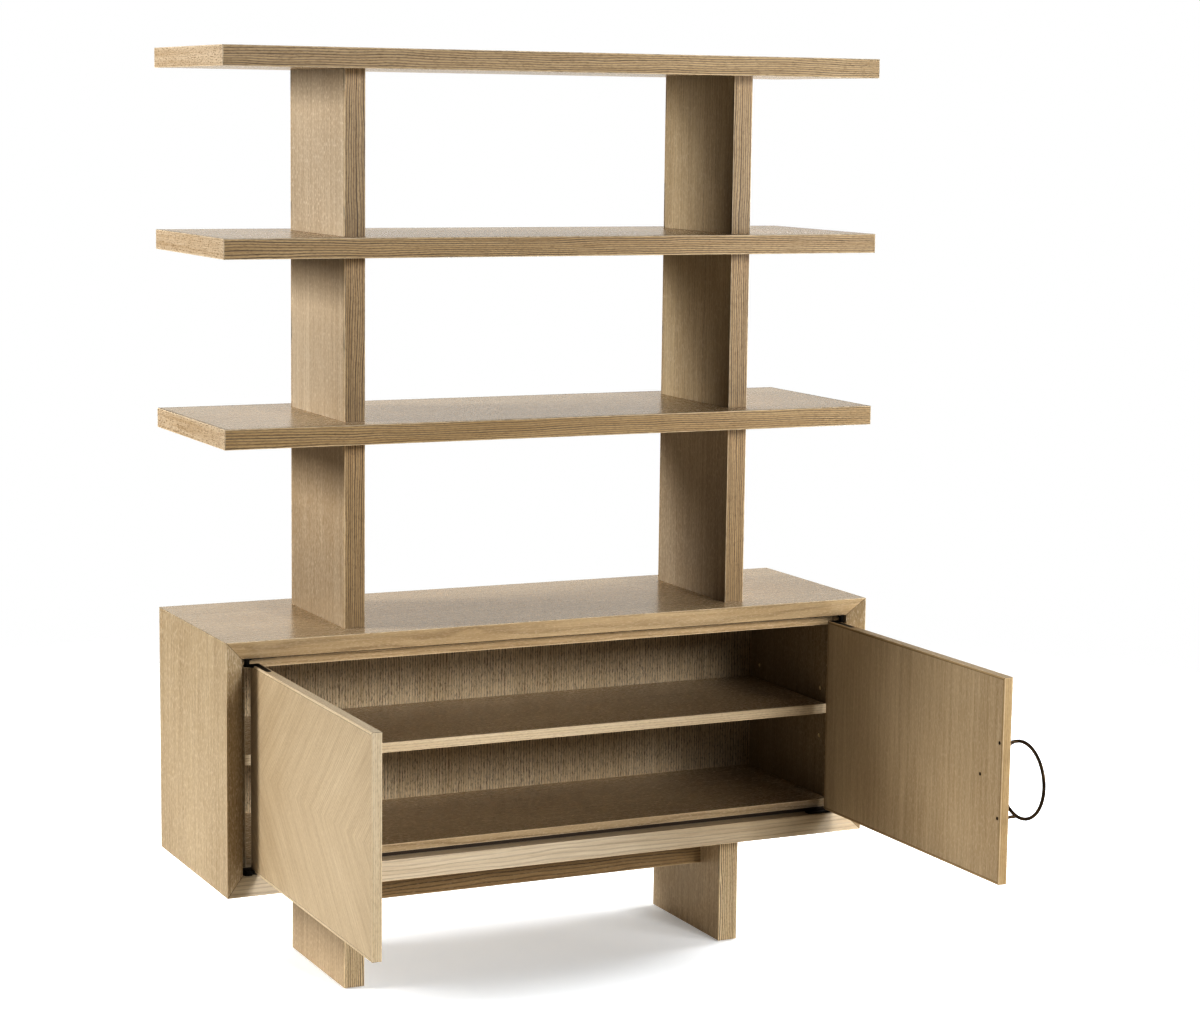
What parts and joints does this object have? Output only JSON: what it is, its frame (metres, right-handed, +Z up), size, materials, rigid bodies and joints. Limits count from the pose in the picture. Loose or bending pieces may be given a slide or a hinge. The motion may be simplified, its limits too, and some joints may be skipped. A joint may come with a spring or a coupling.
{
  "type": "shelving unit",
  "caption": "Open oak display shelves on panel uprights over a mitred cupboard with hinged doors and an adjustable shelf, raised on panel legs.",
  "frame": {"origin": "on the floor, under the middle of the case's footprint", "axes": "+Z up, +X to the right along the shelves as seen from the front, +Y to the back; the doors open towards -Y"},
  "size_m": [1.524, 1.2393, 2.004],
  "materials": {
    "oak_veneer": "satin limed oak veneer",
    "oak_edging": "satin limed solid oak",
    "batten_wood": "stained softwood",
    "birch_spline": "raw birch plywood",
    "beech_dowel": "raw beech",
    "zinc_steel": "zinc plated",
    "brass": "aged brass",
    "glide_plastic": "matte",
    "bronzed_steel": "dark bronze, satin",
    "black_hinge_steel": "blackened, satin"
  },
  "bodies": {
    "cabinet": {"back_panel": "oak_veneer", "back_panel_screws": "zinc_steel", "case_bottom_board": "oak_veneer", "case_hinge_screws": "black_hinge_steel", "case_left_board": "oak_veneer", "case_right_board": "oak_veneer", "case_top_board": "oak_veneer", "floor_glides": "glide_plastic", "front_rail": "oak_veneer", "hinge_pins": "black_hinge_steel", "hinge_spacers": "black_hinge_steel", "left_bottom_case_leaf": "black_hinge_steel", "left_leg_panel": "oak_veneer", "left_lower_upright": "oak_veneer", "left_middle_upright": "oak_veneer", "left_top_case_leaf": "black_hinge_steel", "left_upper_upright": "oak_veneer", "leg_bolts": "zinc_steel", "leg_edging": "oak_edging", "liner_battens": "batten_wood", "liner_bottom": "oak_veneer", "liner_left_side": "oak_veneer", "liner_right_side": "oak_veneer", "liner_top": "oak_veneer", "lower_shelf_edging": "oak_edging", "lower_shelf_panel": "oak_veneer", "middle_shelf_edging": "oak_edging", "middle_shelf_panel": "oak_veneer", "mitre_splines": "birch_spline", "rail_dowels": "beech_dowel", "rear_rail": "oak_veneer", "right_bottom_case_leaf": "black_hinge_steel", "right_leg_panel": "oak_veneer", "right_lower_upright": "oak_veneer", "right_middle_upright": "oak_veneer", "right_top_case_leaf": "black_hinge_steel", "right_upper_upright": "oak_veneer", "shelf_pin_sleeves": "brass", "shelf_pins": "brass", "stack_dowels": "beech_dowel", "tie_rod_nuts": "zinc_steel", "tie_rods": "zinc_steel", "top_shelf_edging": "oak_edging", "top_shelf_panel": "oak_veneer", "upright_edging": "oak_edging"},
    "left_door": {"left_door_panel": "oak_veneer", "left_door_edging": "oak_edging", "left_door_bottom_leaf": "black_hinge_steel", "left_door_top_leaf": "black_hinge_steel", "left_door_hinge_screws": "black_hinge_steel"},
    "right_door": {"right_door_panel": "oak_veneer", "right_door_edging": "oak_edging", "right_door_bottom_leaf": "black_hinge_steel", "right_door_top_leaf": "black_hinge_steel", "right_door_hinge_screws": "black_hinge_steel", "ring_handle": "bronzed_steel", "handle_posts": "bronzed_steel", "handle_screws": "bronzed_steel"},
    "cupboard_shelf": {"cupboard_shelf_panel": "oak_veneer", "cupboard_shelf_edging": "oak_edging"}
  },
  "joints": [
    {"name": "left_door_hinge", "type": "hinge", "parent": "cabinet", "child": "left_door", "pos_m": [-0.7105, -0.212, 0.517], "axis": [0, 0, -1], "range_deg": [-90.4, 70]},
    {"name": "right_door_hinge", "type": "hinge", "parent": "cabinet", "child": "right_door", "pos_m": [0.7105, -0.212, 0.517], "axis": [0, 0, 1], "range_deg": [-90.4, 70]},
    {"name": "cupboard_shelf_lift", "type": "slide", "parent": "cabinet", "child": "cupboard_shelf", "axis": [0, 0, 1], "range_m": [0, 0.056]}
  ]
}
